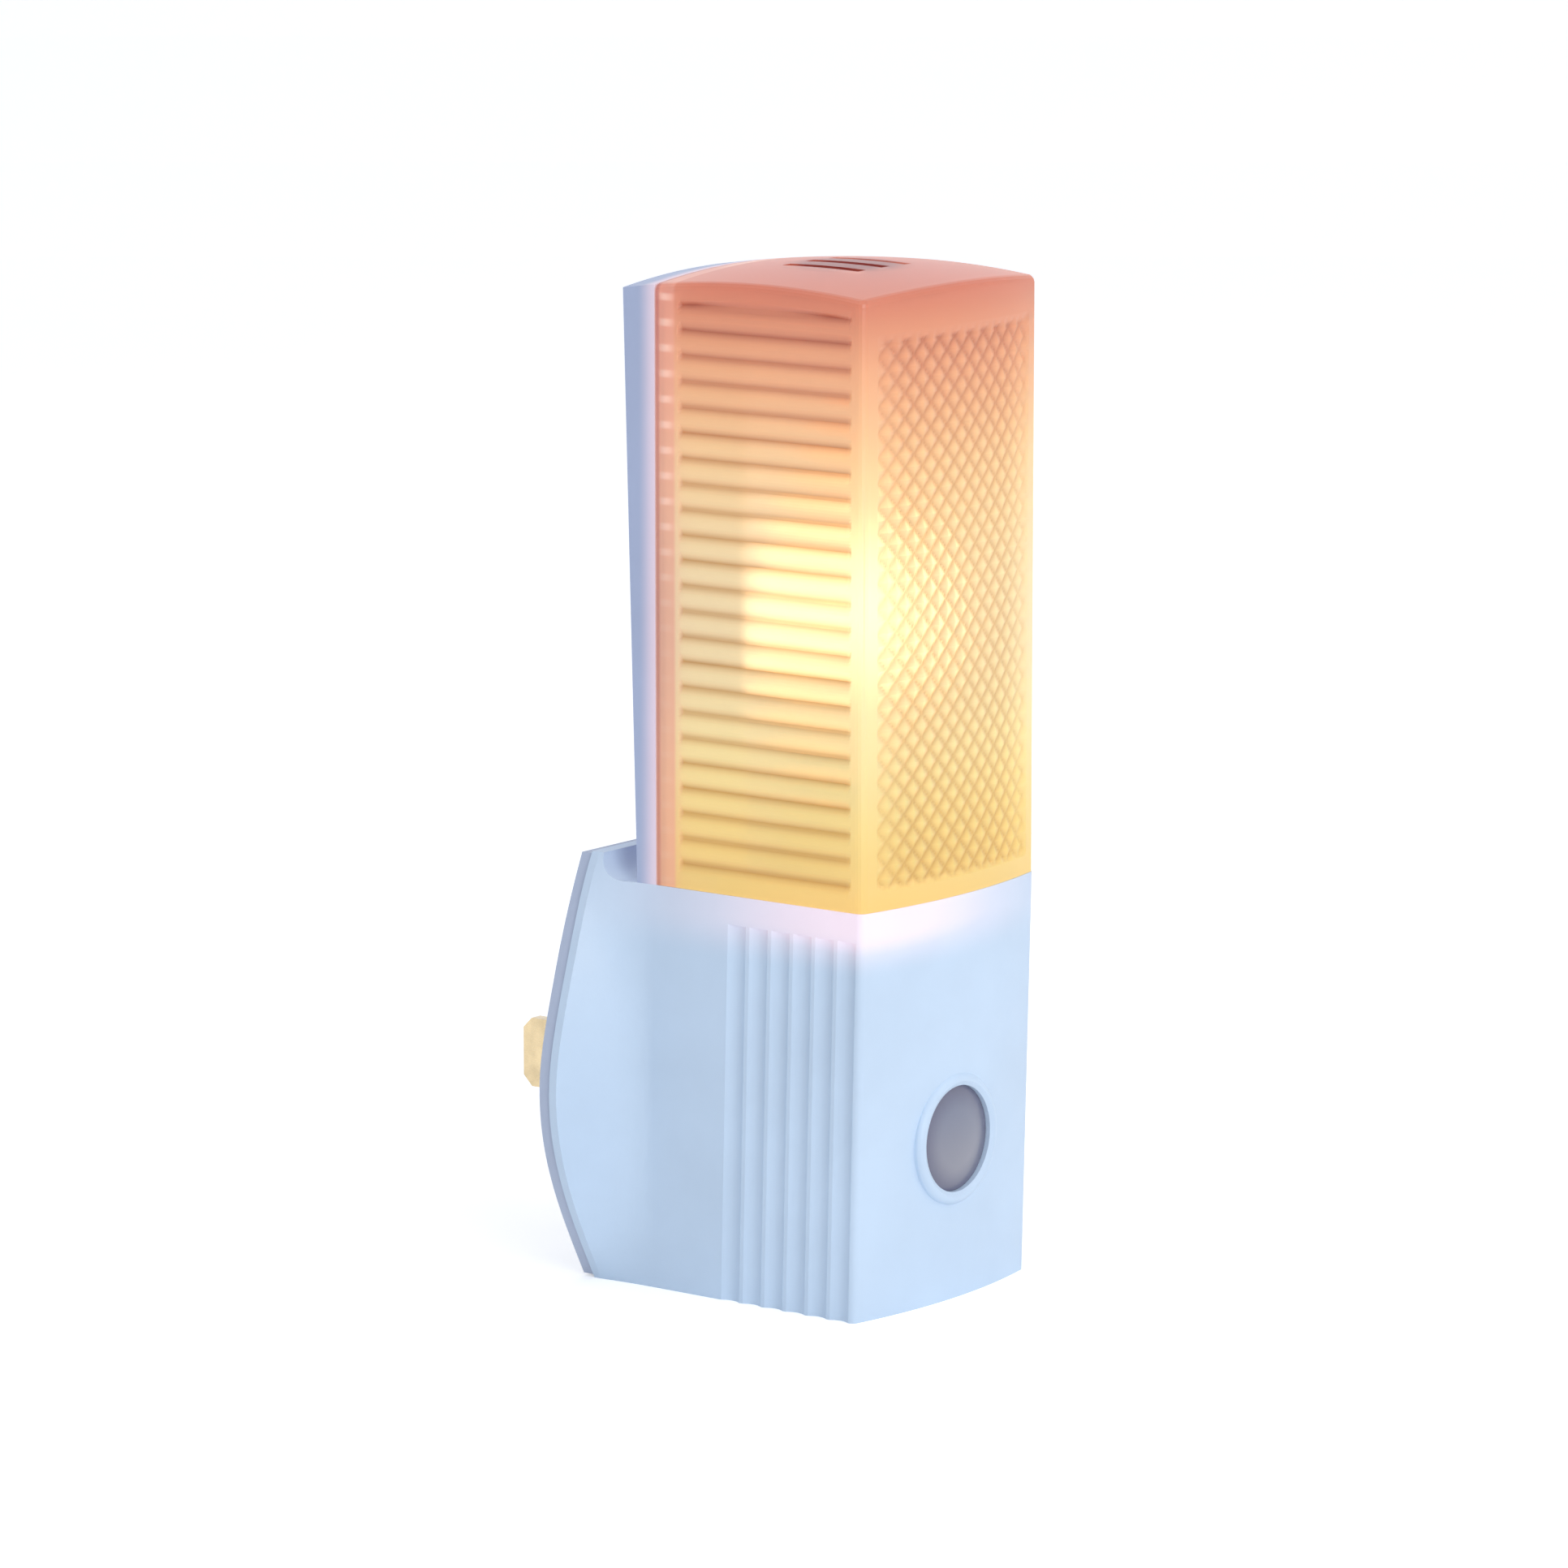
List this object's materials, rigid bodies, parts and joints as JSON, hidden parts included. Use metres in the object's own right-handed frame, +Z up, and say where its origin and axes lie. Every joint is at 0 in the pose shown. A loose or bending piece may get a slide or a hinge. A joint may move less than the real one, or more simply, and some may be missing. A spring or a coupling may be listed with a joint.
{
  "type": "plug-in night light",
  "caption": "Plug-in night light with a ribbed amber lens over a screw-in bulb, a white housing with a dusk sensor window, and flat plug blades.",
  "frame": {"origin": "on the back face of the rear cover, which lies on the wall plate, midway between the two plug blades", "axes": "+Y into the wall along the blades, +Z up along the light, +X to the right as seen from the room"},
  "size_m": [0.0486, 0.0562, 0.1139],
  "materials": {
    "housing_white": "satin moulded white",
    "cover_white": "satin moulded white",
    "lens_amber": "clear tinted, ribbed",
    "window_grey": "smoked, slightly milky",
    "cell": "glazed sensor disc",
    "board": "brown laminate",
    "component_black": "moulded",
    "component_tan": "glazed",
    "component_blue": "dipped",
    "diode_glass": "clear",
    "holder_white": "heat-proof moulding",
    "brass": "plain",
    "steel": "zinc plated",
    "bulb_clear": "clear",
    "bulb_nickel": "plated",
    "insulator_black": "vitrified",
    "solder": "solder",
    "tungsten": "coiled wire",
    "wire_black": "insulated wire",
    "wire_white": "insulated wire"
  },
  "bodies": {
    "housing": {"front_housing": "housing_white", "rear_cover": "cover_white", "cover_screws": "steel", "blade_wide": "brass", "blade_narrow": "brass", "blade_clamp": "cover_white", "clamp_screw": "steel", "reflector_back": "housing_white", "sensor_window": "window_grey", "photocell": "cell", "photocell_leads": "steel", "circuit_board": "board", "triac": "component_black", "capacitor": "component_blue", "gate_resistor": "component_tan", "divider_resistor": "component_tan", "diac": "diode_glass", "lamp_socket": "holder_white", "socket_shell": "brass", "socket_centre_contact": "brass", "socket_screws": "steel", "live_wire": "wire_black", "neutral_wire": "wire_white", "shell_wire": "wire_white", "lamp_wire": "wire_black"},
    "lens_cover": {"lens": "lens_amber"},
    "bulb_rise_body": {"bulb_tip_contact": "solder"},
    "bulb": {"bulb_insulator": "insulator_black", "bulb_cap": "bulb_nickel", "bulb_glass": "bulb_clear", "bulb_stem": "bulb_clear", "bulb_lead_wires": "steel", "bulb_filament": "tungsten"}
  },
  "joints": [
    {"name": "lens_lift", "type": "slide", "parent": "housing", "child": "lens_cover", "axis": [0, 0, 1], "range_m": [0, 0.062]},
    {"name": "bulb_rise", "type": "slide", "parent": "housing", "child": "bulb_rise_body", "axis": [0, 0, 1], "range_m": [0, 0.01144]},
    {"name": "bulb_turn", "type": "hinge", "parent": "bulb_rise_body", "child": "bulb", "pos_m": [0, -0.0244, 0], "axis": [0, 0, 1], "range_deg": [0, 1620]}
  ],
  "couplings": [
    {"joint": "bulb_rise", "follows": "bulb_turn", "m_per_rad": 0.00040425}
  ]
}
